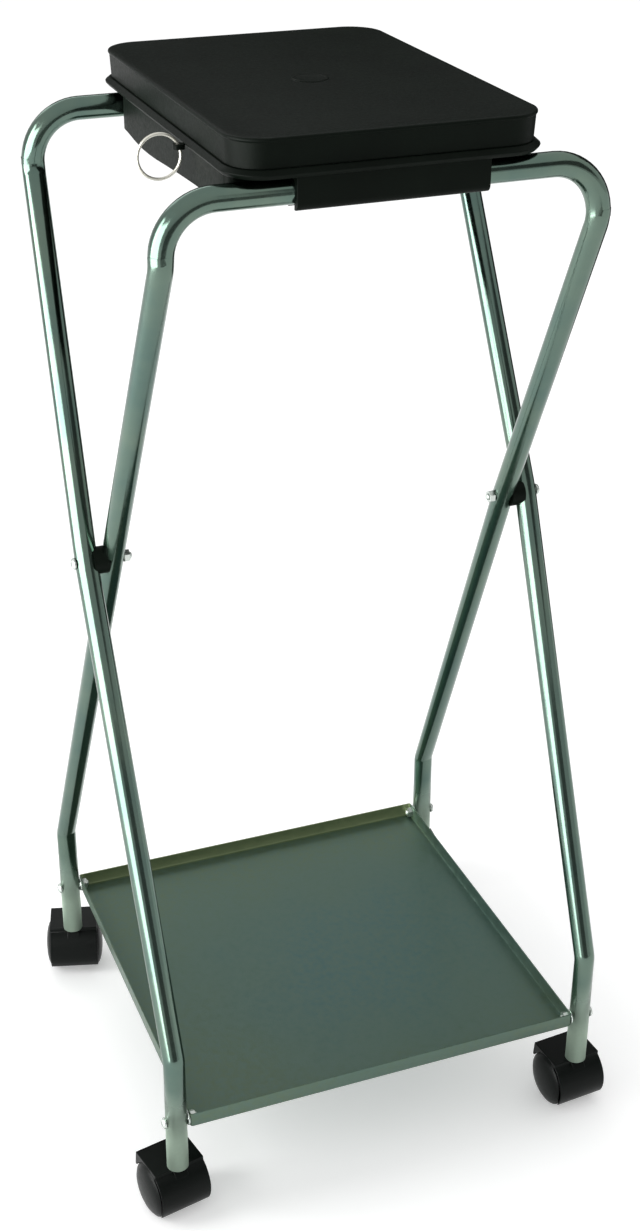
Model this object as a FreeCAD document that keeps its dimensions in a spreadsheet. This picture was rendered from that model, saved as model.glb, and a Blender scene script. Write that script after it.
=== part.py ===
import FreeCAD, Part
import math
import os
import Sketcher

# Bin bag holder on four castors, in millimetres.
# Two inverted U frames of round steel tube cross at the sides and are bolted together there.
# A folded tray ties the four feet, and a moulded collar with a hinged lid is clipped on the two bars.
# The origin lies on the floor midway between the feet; the front is -Y, up is +Z.

SIZES = {
    # Steel tube and the way it is bent
    "tube_od": 20.0,
    "tube_wall": 1.5,
    "bar_high": 930.0,
    "bar_out": 150.7,
    "front_top_half": 178.3,
    "back_top_half": 199.2,
    "corner_radius": 42.0,
    "kink_lead": 4.8,
    "kink_radius": 15.0,
    "pivot_high": 580.5,
    "front_pivot_half": 187.0,
    "pivot_gap": 3.0,
    "pivot_radius": 400.0,
    "low_kink_high": 176.5,
    "foot_out": 187.4,
    "foot_half": 203.5,
    # Bolts, nuts, washers and saddles
    "bolt_size": 6.0,
    "bolt_fit": 0.05,
    "hole_room": 0.2,
    "head_radius": 5.25,
    "head_tall": 3.3,
    "head_rim": 0.9,
    "head_crown": 2.8,
    "bolt_tip": 2.0,
    "nut_flats": 10.0,
    "nut_tall": 5.0,
    "washer_radius": 7.0,
    "washer_thick": 1.5,
    "saddle_radius": 12.0,
    "saddle_long": 13.0,
    # Tray of folded sheet
    "tray_low": 100.0,
    "tray_flange": 15.0,
    "tray_sheet": 1.2,
    "tray_half_y": 193.9,
    "tray_fold": 2.0,
    "tray_bolt_rise": 7.5,
    # Collar
    "rim_rise": 20.0,
    "rim_half_x": 125.0,
    "rim_half_y": 178.0,
    "rim_corner": 30.0,
    "rim_shift": 14.0,
    "rim_wall": 3.5,
    "lip_flare": 5.5,
    "lip_edge": 1.2,
    "deck_thick": 3.0,
    "mouth_half_x": 108.0,
    "mouth_half_y": 132.0,
    "mouth_corner": 12.0,
    "wall_half_x": 123.5,
    "wall_clear": 1.0,
    "wall_thick": 2.5,
    "wall_corner": 10.0,
    "wall_drop_front": 17.0,
    "wall_drop_middle": 33.5,
    "wall_drop_back": 28.3,
    "wall_bow_back": 70.0,
    "wall_bow_flat": 40.0,
    "clip_half": 77.5,
    "clip_wall": 3.0,
    "clip_fit": 0.1,
    "clip_mouth": 12.0,
    "clip_round": 5.0,
    # Lid
    "lid_tall": 23.0,
    "lid_gap": 0.3,
    "lid_inset": 1.7,
    "lid_draft": 1.2,
    "lid_wall": 2.0,
    "lid_thick": 2.5,
    "bead_out": 1.0,
    "bead_tall": 3.0,
    "bead_chamfer": 1.2,
    "dish_deep": 2.0,
    "dish_margin": 4.0,
    "dish_slope": 22.0,
    "disc_radius": 15.0,
    "disc_tall": 0.8,
    # Hinge of the lid
    "hinge_out": 9.5,
    "hinge_down": 1.5,
    "knuckle_radius": 4.3,
    "knuckle_near": 40.0,
    "knuckle_far": 60.0,
    "knuckle_gap": 0.3,
    "pin_radius": 1.5,
    "pin_fit": 0.05,
    "lid_opens": 110.0,
    "stop_room": 0.25,
    # Pull ring and its lug
    "ring_radius": 17.2,
    "ring_wire": 1.25,
    "ring_back": -53.0,
    "ring_lean": 22.0,
    "lug_out": 1.5,
    "lug_rise": 0.8,
    "lug_reach": 6.5,
    "lug_half": 4.0,
    "lug_thick": 4.0,
    "lug_hole": 1.7,
    # Castors
    "wheel_radius": 26.0,
    "wheel_near": 7.2,
    "wheel_wide": 20.8,
    "axle_radius": 3.0,
    "axle_half": 22.0,
    "axle_fit": 0.05,
    "fender_gap": 1.2,
    "hood_wall": 1.8,
    "hood_half": 18.5,
    "hood_flat": 1.1,
    "hood_front": 14.0,
    "hood_back": 24.0,
    "hood_tail": 26.0,
    "hood_tail_rise": 14.0,
    "hood_skirt": 15.0,
    "hood_tip_turn": 27.0,
    "web_half": 6.5,
    "web_low": 12.0,
    "web_inset": 1.0,
    "web_shoulder": 15.0,
    "trail": 11.0,
    "swivel_gap": 0.3,
    "stem_radius": 4.0,
    "stem_fit": 0.05,
    "stem_sunk": 19.9,
    "stem_up": 33.0,
    "sleeve_up": 35.0,
    "turn_fl": 11.3,
    "turn_fr": 4.9,
    "turn_bl": -16.3,
    "turn_br": -5.0,
}

V = FreeCAD.Vector
SPARE = 5.0
ALONG_X = FreeCAD.Rotation(V(0, 1, 0), 90)
FEET = {"fl": (-1, -1), "fr": (1, -1), "bl": (-1, 1), "br": (1, 1)}
WIRE_SIDES = 8
BORE_SIDES = 8
BORE_SPREAD = 1.054
BOW_RADIUS = 900.0
EAR_CORNERS = ((0, 0), (0, 1), (1, 1), (1, 0.45))
EAR_FOOT = 0.35

doc = FreeCAD.newDocument("bin_bag_holder")
sheet = doc.addObject("Spreadsheet::Sheet", "sizes")
nodes = []


def fill_sheet():
    """One row for each size: its name in column A, its number in column B."""
    for row, (name, number) in enumerate(SIZES.items(), start=1):
        sheet.set(f"A{row}", name)
        sheet.set(f"B{row}", str(number))
        sheet.setAlias(f"B{row}", name)
    doc.recompute()


class Size:
    """A number together with the formula by which the sheet gives it."""

    def __init__(self, number, formula=None):
        self.number = float(number)
        self.formula = formula or f"({self.number:.9g})"

    def __add__(self, other):
        other = as_size(other)
        return Size(self.number + other.number, f"({self.formula} + {other.formula})")

    def __sub__(self, other):
        other = as_size(other)
        return Size(self.number - other.number, f"({self.formula} - {other.formula})")

    def __mul__(self, other):
        other = as_size(other)
        return Size(self.number * other.number, f"({self.formula} * {other.formula})")

    def __truediv__(self, other):
        other = as_size(other)
        return Size(self.number / other.number, f"({self.formula} / {other.formula})")

    def __neg__(self):
        return self * -1

    def root(self):
        return Size(math.sqrt(self.number), f"sqrt({self.formula})")

    def cos(self):
        return Size(math.cos(math.radians(self.number)), f"cos({self.formula})")

    def sin(self):
        return Size(math.sin(math.radians(self.number)), f"sin({self.formula})")


def as_size(amount):
    return amount if isinstance(amount, Size) else Size(amount)


def size(name):
    return Size(float(sheet.get(name)), f"sizes.{name}")


def spot(x, y, z):
    return V(as_size(x).number, as_size(y).number, as_size(z).number)


# Tools for building: bindings, sketches and features

def bind(thing, path, amount):
    thing.setExpression(path, as_size(amount).formula)


def place(thing, x, y, z, turn=0.0):
    """Turn a piece about the vertical by a number of degrees and tie its place to the sheet."""
    thing.Placement = FreeCAD.Placement(V(), FreeCAD.Rotation(V(0, 0, 1), turn))
    for axis, amount in zip("xyz", (x, y, z)):
        bind(thing, "Placement.Base." + axis, amount)
    return thing


def as_node(thing, label):
    thing.Label = label
    nodes.append(thing)
    return thing


def new_body(label):
    body = doc.addObject("PartDesign::Body", label)
    body.Label = label
    return body


def group(label, pieces):
    """One node for pieces of the same kind, each still a solid of its own."""
    item = doc.addObject("Part::Compound", label)
    item.Links = pieces
    return as_node(item, label)


def origin_plane(body, role):
    return [item for item in body.Origin.OriginFeatures if item.Role == role][0]


def new_sketch(body, role, lift=0.0):
    sketch = body.newObject("Sketcher::SketchObject", "profile")
    sketch.AttachmentSupport = [(origin_plane(body, role), "")]
    sketch.MapMode = "FlatFace"
    bind(sketch, "AttachmentOffset.Base.z", lift)
    return sketch


def fix_value(sketch, constraint, amount):
    index = sketch.addConstraint(constraint)
    name = f"value_{index}"
    sketch.renameConstraint(index, name)
    bind(sketch, "Constraints." + name, amount)


def fix_point(sketch, edge, end, x, y):
    x = as_size(x)
    y = as_size(y)
    fix_value(sketch, Sketcher.Constraint("DistanceX", -1, 1, edge, end, x.number), x)
    fix_value(sketch, Sketcher.Constraint("DistanceY", -1, 1, edge, end, y.number), y)


def circle(sketch, x, y, radius):
    radius = as_size(radius)
    edge = sketch.addGeometry(Part.Circle(spot(x, y, 0), V(0, 0, 1), radius.number))
    fix_point(sketch, edge, 3, x, y)
    fix_value(sketch, Sketcher.Constraint("Radius", edge, radius.number), radius)


def arc_between(start, end, radius, turns_left):
    """The short arc from start to end, as the anticlockwise arc that a sketch holds."""
    chord = end - start
    left = V(-chord.y, chord.x, 0).normalize()
    height = math.sqrt(radius ** 2 - (chord.Length / 2) ** 2)
    centre = (start + end) / 2 + left * (height if turns_left else -height)
    first, last = (start, end) if turns_left else (end, start)
    angles = [math.atan2(point.y - centre.y, point.x - centre.x) for point in (first, last)]
    return Part.ArcOfCircle(Part.Circle(centre, V(0, 0, 1), radius), *angles)


def outline(sketch, corners, arcs=None):
    """A closed outline through the corners. arcs gives the radius of the edges that are round,
    by the number of the corner where they start, negative where the edge turns right."""
    arcs = arcs or {}
    points = [spot(x, y, 0) for x, y in corners]
    edges = []
    for number, start in enumerate(points):
        end = points[(number + 1) % len(points)]
        if number in arcs:
            radius = as_size(arcs[number])
            turns_left = radius.number > 0
            curve = arc_between(start, end, abs(radius.number), turns_left)
            edge = sketch.addGeometry(curve)
            edges.append((edge, 1, 2) if turns_left else (edge, 2, 1))
        else:
            edge = sketch.addGeometry(Part.LineSegment(start, end))
            edges.append((edge, 1, 2))
    for number, (edge, start, _) in enumerate(edges):
        before, _, end = edges[number - 1]
        sketch.addConstraint(Sketcher.Constraint("Coincident", before, end, edge, start))
        fix_point(sketch, edge, start, *corners[number])
    for number, amount in arcs.items():
        radius = as_size(amount)
        radius = radius if radius.number > 0 else -radius
        fix_value(sketch, Sketcher.Constraint("Radius", edges[number][0], radius.number), radius)


def rectangle(sketch, x_low, x_high, y_low, y_high):
    outline(sketch, [(x_low, y_low), (x_high, y_low), (x_high, y_high), (x_low, y_high)])


def rounded_rectangle(sketch, half_x, half_y, corner, shift=0.0):
    """Centred on x = 0 and y = shift."""
    near_x = half_x - corner
    near_y = half_y - corner
    signs = [(1, -1), (1, 1), (-1, 1), (-1, -1)]
    corners = []
    for number, (sx, sy) in enumerate(signs):
        on_side = (half_x * sx, near_y * sy + shift)
        on_end = (near_x * sx, half_y * sy + shift)
        corners += [on_end, on_side] if number % 2 == 0 else [on_side, on_end]
    outline(sketch, corners, {number: corner for number in (0, 2, 4, 6)})


def feature(body, kind, sketch):
    item = body.newObject("PartDesign::" + kind, kind.lower())
    item.Profile = sketch
    return item


def pad(body, sketch, length, symmetric=False, down=False):
    item = feature(body, "Pad", sketch)
    bind(item, "Length", length)
    item.SideType = "Symmetric" if symmetric else "One side"
    item.Reversed = down
    return item


def pocket(body, sketch, depth=None, up=False):
    """Without a depth the pocket goes right through both ways."""
    item = feature(body, "Pocket", sketch)
    if depth is None:
        item.Type = "ThroughAll"
        item.SideType = "Symmetric"
    else:
        bind(item, "Length", depth)
        item.Reversed = up
    return item


def loft(body, kind, first, second):
    item = feature(body, kind, first)
    item.Sections = [second]
    item.Ruled = True
    return item


def spin(body, sketch):
    """A turned piece: the sketch goes once round its own horizontal axis, which is the body's X."""
    item = feature(body, "Revolution", sketch)
    item.ReferenceAxis = (sketch, ["H_Axis"])
    return item


def edge_names(base, wanted):
    """The edges for which wanted(edge) is true."""
    doc.recompute()
    return [f"Edge{n}" for n, edge in enumerate(base.Shape.Edges, start=1) if wanted(edge)]


def fillet(body, base, radius, wanted):
    names = edge_names(base, wanted)
    item = body.newObject("PartDesign::Fillet", "fillet")
    item.Base = (base, names)
    bind(item, "Radius", radius)
    return item


def chamfer(body, base, width, wanted):
    names = edge_names(base, wanted)
    item = body.newObject("PartDesign::Chamfer", "chamfer")
    item.Base = (base, names)
    bind(item, "Size", width)
    return item


def cylinder(radius, length, x, y, z, name="cylinder"):
    """A cylinder along X, centred on x."""
    item = doc.addObject("Part::Cylinder", name)
    bind(item, "Radius", radius)
    bind(item, "Height", length)
    item.Placement = FreeCAD.Placement(V(), ALONG_X)
    bind(item, "Placement.Base.x", x - as_size(length) / 2)
    bind(item, "Placement.Base.y", y)
    bind(item, "Placement.Base.z", z)
    return item


def cut(base, tool, name="cut"):
    item = doc.addObject("Part::Cut", name)
    item.Base = base
    item.Tool = tool
    return item


# Places that several pieces share

def shared_places():
    """Sizes that follow from the driving ones."""
    tube_half = size("tube_od") / 2
    hood_radius = size("wheel_radius") + size("fender_gap") + size("hood_wall")
    hood_top = size("wheel_radius") + hood_radius - size("hood_flat")
    deck_low = size("bar_high") + tube_half + size("clip_wall")
    rim_high = size("bar_high") + size("rim_rise")
    skirt_half_x = size("rim_half_x") - size("lid_inset")
    skirt_half_y = size("rim_half_y") - size("lid_inset")
    lip_half_x = size("rim_half_x") + size("lip_flare")
    return {
        "tube_half": tube_half,
        "bore": tube_half - size("tube_wall"),
        "back_pivot_half": size("front_pivot_half") + size("tube_od") + size("pivot_gap"),
        "kink_high": size("bar_high") - size("corner_radius") - size("kink_lead"),
        "hole": size("bolt_size") / 2 + size("hole_room"),
        "hood_radius": hood_radius,
        "hood_top": hood_top,
        "foot_end": hood_top + size("swivel_gap"),
        "tray_half_x": size("foot_half") - tube_half - size("washer_thick"),
        "tray_bolt_high": size("tray_low") + size("tray_bolt_rise"),
        "deck_low": deck_low,
        "rim_high": rim_high,
        "wall_half_y": size("bar_out") - tube_half - size("wall_clear"),
        "lip_half_x": lip_half_x,
        "lip_half_y": size("rim_half_y") + size("lip_flare"),
        "skirt_half_x": skirt_half_x,
        "skirt_half_y": skirt_half_y,
        "skirt_corner": size("rim_corner") - size("lid_inset"),
        "lid_low": rim_high + size("lid_gap"),
        "lid_top": rim_high + size("lid_tall"),
        "hinge_y": size("rim_shift") + size("rim_half_y") + size("hinge_out"),
        "hinge_z": rim_high - size("hinge_down"),
        "lug_x": -lip_half_x - size("lug_out"),
        "lug_z": deck_low + size("lug_rise"),
    }


# Frames

def bent_path(points, radii):
    """Straight runs joined by arcs that touch them."""
    edges = []
    start = points[0]
    for before, corner, after, radius in zip(points, points[1:], points[2:], radii):
        back = (before - corner).normalize()
        onward = (after - corner).normalize()
        half_angle = back.getAngle(onward) / 2
        reach = radius / math.tan(half_angle)
        first = corner + back * reach
        last = corner + onward * reach
        middle = corner + (back + onward).normalize() * (radius / math.sin(half_angle) - radius)
        edges.append(Part.LineSegment(start, first).toShape())
        edges.append(Part.Arc(first, middle, last).toShape())
        start = last
    edges.append(Part.LineSegment(start, points[-1]).toShape())
    return Part.Wire(edges)


def frame_points(bar_y, foot_y, top_half, pivot_half):
    """Corners of one inverted U's centre line, from its right foot over the bar to its left."""
    half = [
        (size("foot_half"), foot_y, at["foot_end"]),
        (size("foot_half"), foot_y, size("low_kink_high")),
        (pivot_half, 0, size("pivot_high")),
        (top_half, bar_y, at["kink_high"]),
        (top_half, bar_y, size("bar_high")),
    ]
    right = [spot(x, y, z) for x, y, z in half]
    left = [V(-point.x, point.y, point.z) for point in reversed(right)]
    return right + left


def swept(name, points, section):
    """The section carried along the frame's centre line."""
    kink = size("kink_radius").number
    bends = [kink, size("pivot_radius").number, kink, size("corner_radius").number]
    path = doc.addObject("Part::Feature", name + "_path")
    path.Shape = bent_path(points, bends + bends[::-1])
    place(section, points[0].x, points[0].y, points[0].z)
    sweep = doc.addObject("Part::Sweep", name)
    sweep.Sections = [section]
    sweep.Spine = (path, [f"Edge{n + 1}" for n in range(len(path.Shape.Edges))])
    sweep.Solid = True
    return sweep


def bore_section(label):
    """An eight-sided bore of the same area as the round one, which keeps the faces few.
    Only the feet, which hold the castors' sleeves, are bored round."""
    section = doc.addObject("Part::RegularPolygon", label + "_bore_section")
    section.Polygon = BORE_SIDES
    bind(section, "Circumradius", at["bore"] * BORE_SPREAD)
    return section


def frame(label, front, top_half, pivot_half):
    """front is -1 for the frame whose bar is at the front and 1 for the other."""
    foot_y = size("foot_out") * -front
    points = frame_points(size("bar_out") * front, foot_y, top_half, pivot_half)
    ring = doc.addObject("Part::Circle", label + "_ring")
    bind(ring, "Radius", at["tube_half"])
    outside = swept(label + "_outside", points, ring)
    inside = swept(label + "_bore", points, bore_section(label))
    through = size("tube_od") + SPARE * 2
    holes = []
    for side in (-1, 1):
        x = size("foot_half") * side
        holes.append(cylinder(at["hole"], through, pivot_half * side, 0, size("pivot_high")))
        holes.append(cylinder(at["hole"], through, x, foot_y, at["tray_bolt_high"]))
        socket = doc.addObject("Part::Cylinder", label + "_socket")
        bind(socket, "Radius", at["bore"])
        bind(socket, "Height", size("sleeve_up"))
        holes.append(place(socket, x, foot_y, at["foot_end"]))
    all_holes = doc.addObject("Part::MultiFuse", label + "_holes")
    all_holes.Shapes = holes
    as_node(cut(cut(outside, inside), all_holes), label)
    return outside


# Fasteners, all turned or cut along the body's X

def bolt(length):
    """The head's flat side is at x = 0 and the shank runs to +X."""
    body = new_body("bolt")
    shank = size("bolt_size") / 2 - size("bolt_fit")
    sketch = new_sketch(body, "XY_Plane")
    outline(sketch, [
        (-size("head_tall"), 0),
        (length, 0),
        (length, shank),
        (0, shank),
        (0, size("head_radius")),
        (-size("head_rim"), size("head_radius")),
        (-size("head_tall"), size("head_crown")),
    ])
    spin(body, sketch)
    return body


def nut():
    """A hexagon from x = 0 to its height along +X, with flats at its front and back."""
    body = new_body("nut")
    sketch = new_sketch(body, "YZ_Plane")
    tip = size("nut_flats") / math.sqrt(3)
    corners = []
    for number in range(6):
        angle = math.radians(60 * number + 30)
        corners.append((tip * math.cos(angle), tip * math.sin(angle)))
    outline(sketch, corners)
    circle(sketch, 0, 0, size("bolt_size") / 2)
    pad(body, sketch, size("nut_tall"))
    return body


def washer():
    body = new_body("washer")
    sketch = new_sketch(body, "YZ_Plane")
    circle(sketch, 0, 0, size("washer_radius"))
    circle(sketch, 0, 0, at["hole"])
    pad(body, sketch, size("washer_thick"))
    return body


def turned_to(side):
    """Turn about the vertical that makes a piece's +X point at the middle of the holder."""
    return 180.0 if side > 0 else 0.0


def pivots(front_tube, back_tube):
    """Bolt, nut and saddle where the two frames cross, on both sides."""
    high = size("pivot_high")
    length = size("tube_od") * 2 + size("pivot_gap") + size("nut_tall") + size("bolt_tip")
    bolts = []
    nuts = []
    saddles = []
    for side in (-1, 1):
        outer = (at["back_pivot_half"] + at["tube_half"]) * side
        inner = (size("front_pivot_half") - at["tube_half"]) * side
        bolts.append(place(bolt(length), outer, 0, high, turned_to(side)))
        nuts.append(place(nut(), inner, 0, high, turned_to(side)))
        middle = (size("front_pivot_half") + at["back_pivot_half"]) / 2 * side
        disc = cylinder(size("saddle_radius"), size("saddle_long"), middle, 0, high)
        hole = cylinder(at["hole"], size("saddle_long") * 2, middle, 0, high)
        saddles.append(cut(cut(cut(disc, hole), front_tube), back_tube))
    group("pivot_bolts", bolts)
    group("pivot_nuts", nuts)
    group("pivot_saddles", saddles)


def tray_fixings():
    """Bolt, nut and washer that hold the tray to each foot."""
    z = at["tray_bolt_high"]
    stack = size("tube_od") + size("washer_thick") + size("tray_sheet")
    length = stack + size("nut_tall") + size("bolt_tip")
    bolts = []
    nuts = []
    washers = []
    for side, front in FEET.values():
        y = size("foot_out") * front
        outer = (size("foot_half") + at["tube_half"]) * side
        inner = (at["tray_half_x"] - size("tray_sheet")) * side
        washer_x = (size("foot_half") - at["tube_half"]) * side
        bolts.append(place(bolt(length), outer, y, z, turned_to(side)))
        nuts.append(place(nut(), inner, y, z, turned_to(side)))
        washers.append(place(washer(), washer_x, y, z, turned_to(side)))
    group("tray_bolts", bolts)
    group("tray_nuts", nuts)
    group("tray_washers", washers)


# Tray

def tray():
    """One sheet with a flange folded up on each side."""
    body = new_body("tray")
    half_x = at["tray_half_x"]
    half_y = size("tray_half_y")
    thick = size("tray_sheet")
    base = new_sketch(body, "XY_Plane", size("tray_low"))
    rectangle(base, -half_x, half_x, -half_y, half_y)
    block = pad(body, base, size("tray_flange"))
    low = size("tray_low").number
    fillet(body, block, size("tray_fold"), lambda edge: edge.BoundBox.ZMax < low + 0.01)
    floor = new_sketch(body, "XY_Plane", size("tray_low") + thick)
    rectangle(floor, thick - half_x, half_x - thick, thick - half_y, half_y - thick)
    pocket(body, floor, size("tray_flange"), up=True)
    holes = new_sketch(body, "YZ_Plane")
    for front in (-1, 1):
        circle(holes, size("foot_out") * front, at["tray_bolt_high"], at["hole"])
    pocket(body, holes)
    as_node(body, "tray")


# Collar

def collar_rim(body):
    """Deck with a lip that flares out and down, round a raised rim that the lid closes on."""
    lip_corner = size("rim_corner") + size("lip_flare")
    shift = size("rim_shift")
    edge = new_sketch(body, "XY_Plane", at["deck_low"])
    rounded_rectangle(edge, at["lip_half_x"], at["lip_half_y"], lip_corner, shift)
    pad(body, edge, size("lip_edge"))
    low = new_sketch(body, "XY_Plane", at["deck_low"] + size("lip_edge"))
    rounded_rectangle(low, at["lip_half_x"], at["lip_half_y"], lip_corner, shift)
    top = new_sketch(body, "XY_Plane", at["rim_high"])
    rounded_rectangle(top, size("rim_half_x"), size("rim_half_y"), size("rim_corner"), shift)
    loft(body, "AdditiveLoft", low, top)
    inner = new_sketch(body, "XY_Plane", at["deck_low"] + size("deck_thick"))
    wall = size("rim_wall")
    rounded_rectangle(inner, size("rim_half_x") - wall, size("rim_half_y") - wall,
                      size("rim_corner") - wall, shift)
    pocket(body, inner, size("rim_rise"), up=True)


def collar_walls(body):
    """Walls inside the two bars that hang down from the deck, with a bowed lower edge."""
    sink = size("deck_thick") / 2
    high = at["deck_low"] + sink
    ring = new_sketch(body, "XY_Plane", high)
    thick = size("wall_thick")
    rounded_rectangle(ring, size("wall_half_x"), at["wall_half_y"], size("wall_corner"))
    rounded_rectangle(ring, size("wall_half_x") - thick, at["wall_half_y"] - thick,
                      size("wall_corner") - thick)
    pad(body, ring, size("wall_drop_middle") + sink + SPARE, down=True)
    low = at["deck_low"] - size("wall_drop_middle")
    deep = low - SPARE * 2
    reach = at["wall_half_y"] + SPARE
    below = new_sketch(body, "YZ_Plane")
    outline(below, [
        (-reach, deep),
        (reach, deep),
        (reach, at["deck_low"] - size("wall_drop_back")),
        (size("wall_bow_back") + size("wall_bow_flat") / 2, low),
        (size("wall_bow_back") - size("wall_bow_flat") / 2, low),
        (-reach, at["deck_low"] - size("wall_drop_front")),
    ], {4: -BOW_RADIUS, 2: -BOW_RADIUS / 2})
    pocket(body, below)
    mouth = new_sketch(body, "XY_Plane", at["deck_low"] - SPARE)
    rounded_rectangle(mouth, size("mouth_half_x"), size("mouth_half_y"), size("mouth_corner"))
    pocket(body, mouth, size("rim_rise"), up=True)


def collar_clip(body, front):
    """C-shaped clip that snaps on a bar from above."""
    bar_y = size("bar_out") * front
    outer = at["tube_half"] + size("clip_wall")
    block = new_sketch(body, "YZ_Plane")
    wall_y = (at["wall_half_y"] - size("wall_thick") / 2) * front
    far_y = (size("bar_out") + outer) * front
    low = size("bar_high") - outer
    high = at["deck_low"] + size("deck_thick") / 2
    rectangle(block, wall_y, far_y, low, high)
    body_pad = pad(body, block, size("clip_half") * 2, symmetric=True)
    bottom = low.number
    far = far_y.number
    fillet(body, body_pad, size("clip_round"),
           lambda edge: abs(edge.BoundBox.YMin - far) + abs(edge.BoundBox.YMax - far) < 0.01
           and edge.BoundBox.ZMax < bottom + 0.01)
    bore = new_sketch(body, "YZ_Plane")
    circle(bore, bar_y, size("bar_high"), at["tube_half"] + size("clip_fit"))
    pocket(body, bore)
    slot = new_sketch(body, "YZ_Plane")
    half = size("clip_mouth") / 2
    rectangle(slot, bar_y - half, bar_y + half, low - SPARE, size("bar_high"))
    pocket(body, slot)


def collar_lug(body):
    """Lug on the left lip with a leaning hole for the pull ring."""
    y = size("ring_back")
    tab = new_sketch(body, "XY_Plane", at["lug_z"] - size("lug_thick") / 2)
    rectangle(tab, -at["lip_half_x"] - size("lug_reach"), -at["lip_half_x"] + size("lip_flare") / 2,
              y - size("lug_half"), y + size("lug_half"))
    pad(body, tab, size("lug_thick"))
    hole = new_sketch(body, "XY_Plane", at["lug_z"])
    lean = FreeCAD.Rotation(V(0, 1, 0), -size("ring_lean").number)
    hole.AttachmentOffset = FreeCAD.Placement(V(), lean)
    bind(hole, "AttachmentOffset.Base.x", at["lug_x"])
    bind(hole, "AttachmentOffset.Base.y", y)
    bind(hole, "AttachmentOffset.Base.z", at["lug_z"])
    circle(hole, 0, 0, size("lug_hole"))
    bore = feature(body, "Pocket", hole)
    bind(bore, "Length", size("lug_thick") * 2)
    bore.SideType = "Symmetric"


def collar_knuckles(body):
    """Two outer knuckles of the lid's hinge, each with an ear that stops the open lid."""
    y = at["hinge_y"]
    z = at["hinge_z"]
    radius = size("knuckle_radius")
    long = size("knuckle_far") - size("knuckle_near")
    skirt = y - (size("rim_shift") + at["skirt_half_y"])
    for side in (-1, 1):
        barrel = new_sketch(body, "YZ_Plane", size("knuckle_near") * side)
        circle(barrel, y, z, radius)
        pad(body, barrel, long, down=side < 0)
        web = new_sketch(body, "YZ_Plane", size("knuckle_near") * side)
        root = y - size("hinge_out") - size("rim_wall") / 2
        outline(web, [
            (root, at["deck_low"]),
            (y, z - radius),
            (y, z),
            (root, at["rim_high"] - size("rim_wall")),
        ])
        pad(body, web, long, down=side < 0)
        ear = new_sketch(body, "YZ_Plane", size("knuckle_near") * side)
        outline(ear, [ear_point(along, out, skirt, y, z)
                      for along, out in EAR_CORNERS])
        pad(body, ear, long, down=side < 0)
    pin = new_sketch(body, "YZ_Plane")
    circle(pin, y, z, size("pin_radius") + size("pin_fit") / 2)
    pocket(body, pin)


def ear_point(along, out, skirt, y, z):
    """A corner of the stop ear, in the frame of the open lid: out is the share of the way
    to the lid's back wall, along the share of the way up that wall."""
    away = (skirt - size("stop_room")) * out
    up = size("knuckle_radius") * (EAR_FOOT + along) if out else Size(0)
    turn = size("lid_opens")
    point_y = y - away * turn.cos() + up * turn.sin()
    point_z = z + away * turn.sin() + up * turn.cos()
    return point_y, point_z


def bag_collar():
    body = new_body("bag_collar")
    collar_rim(body)
    collar_walls(body)
    for front in (-1, 1):
        collar_clip(body, front)
    collar_lug(body)
    collar_knuckles(body)
    as_node(body, "bag_collar")


# Lid

def lid_shell(body):
    """Cap with slightly drafted walls, a bead round its top edge and a shallow dish."""
    shift = size("rim_shift")
    draft = size("lid_draft")
    low = new_sketch(body, "XY_Plane", at["lid_low"])
    rounded_rectangle(low, at["skirt_half_x"], at["skirt_half_y"], at["skirt_corner"], shift)
    bead_low = at["lid_top"] - size("bead_tall")
    high = new_sketch(body, "XY_Plane", bead_low)
    rounded_rectangle(high, at["skirt_half_x"] + draft, at["skirt_half_y"] + draft,
                      at["skirt_corner"] + draft, shift)
    loft(body, "AdditiveLoft", low, high)
    bead = new_sketch(body, "XY_Plane", bead_low)
    grow = draft + size("bead_out")
    rounded_rectangle(bead, at["skirt_half_x"] + grow, at["skirt_half_y"] + grow,
                      at["skirt_corner"] + grow, shift)
    cap = pad(body, bead, size("bead_tall"))
    top = at["lid_top"].number
    chamfer(body, cap, size("bead_chamfer"), lambda edge: edge.BoundBox.ZMin > top - 0.01)
    wall = size("lid_wall")
    hollow = new_sketch(body, "XY_Plane", at["lid_low"])
    rounded_rectangle(hollow, at["skirt_half_x"] - wall, at["skirt_half_y"] - wall,
                      at["skirt_corner"] - wall, shift)
    floor = size("dish_deep") + size("lid_thick")
    pocket(body, hollow, at["lid_top"] - floor - at["lid_low"], up=True)


def lid_dish(body):
    shift = size("rim_shift")
    grow = size("lid_draft") + size("bead_out") - size("dish_margin")
    far = grow - size("dish_slope")
    top = new_sketch(body, "XY_Plane", at["lid_top"])
    rounded_rectangle(top, at["skirt_half_x"] + grow, at["skirt_half_y"] + grow,
                      at["skirt_corner"] + grow, shift)
    low = new_sketch(body, "XY_Plane", at["lid_top"] - size("dish_deep"))
    rounded_rectangle(low, at["skirt_half_x"] + far, at["skirt_half_y"] + far,
                      at["skirt_corner"] + far, shift)
    loft(body, "SubtractiveLoft", top, low)
    disc = new_sketch(body, "XY_Plane", at["lid_top"] - size("dish_deep") - size("lid_thick") / 2)
    circle(disc, 0, shift, size("disc_radius"))
    pad(body, disc, size("disc_tall") + size("lid_thick") / 2)


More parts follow.
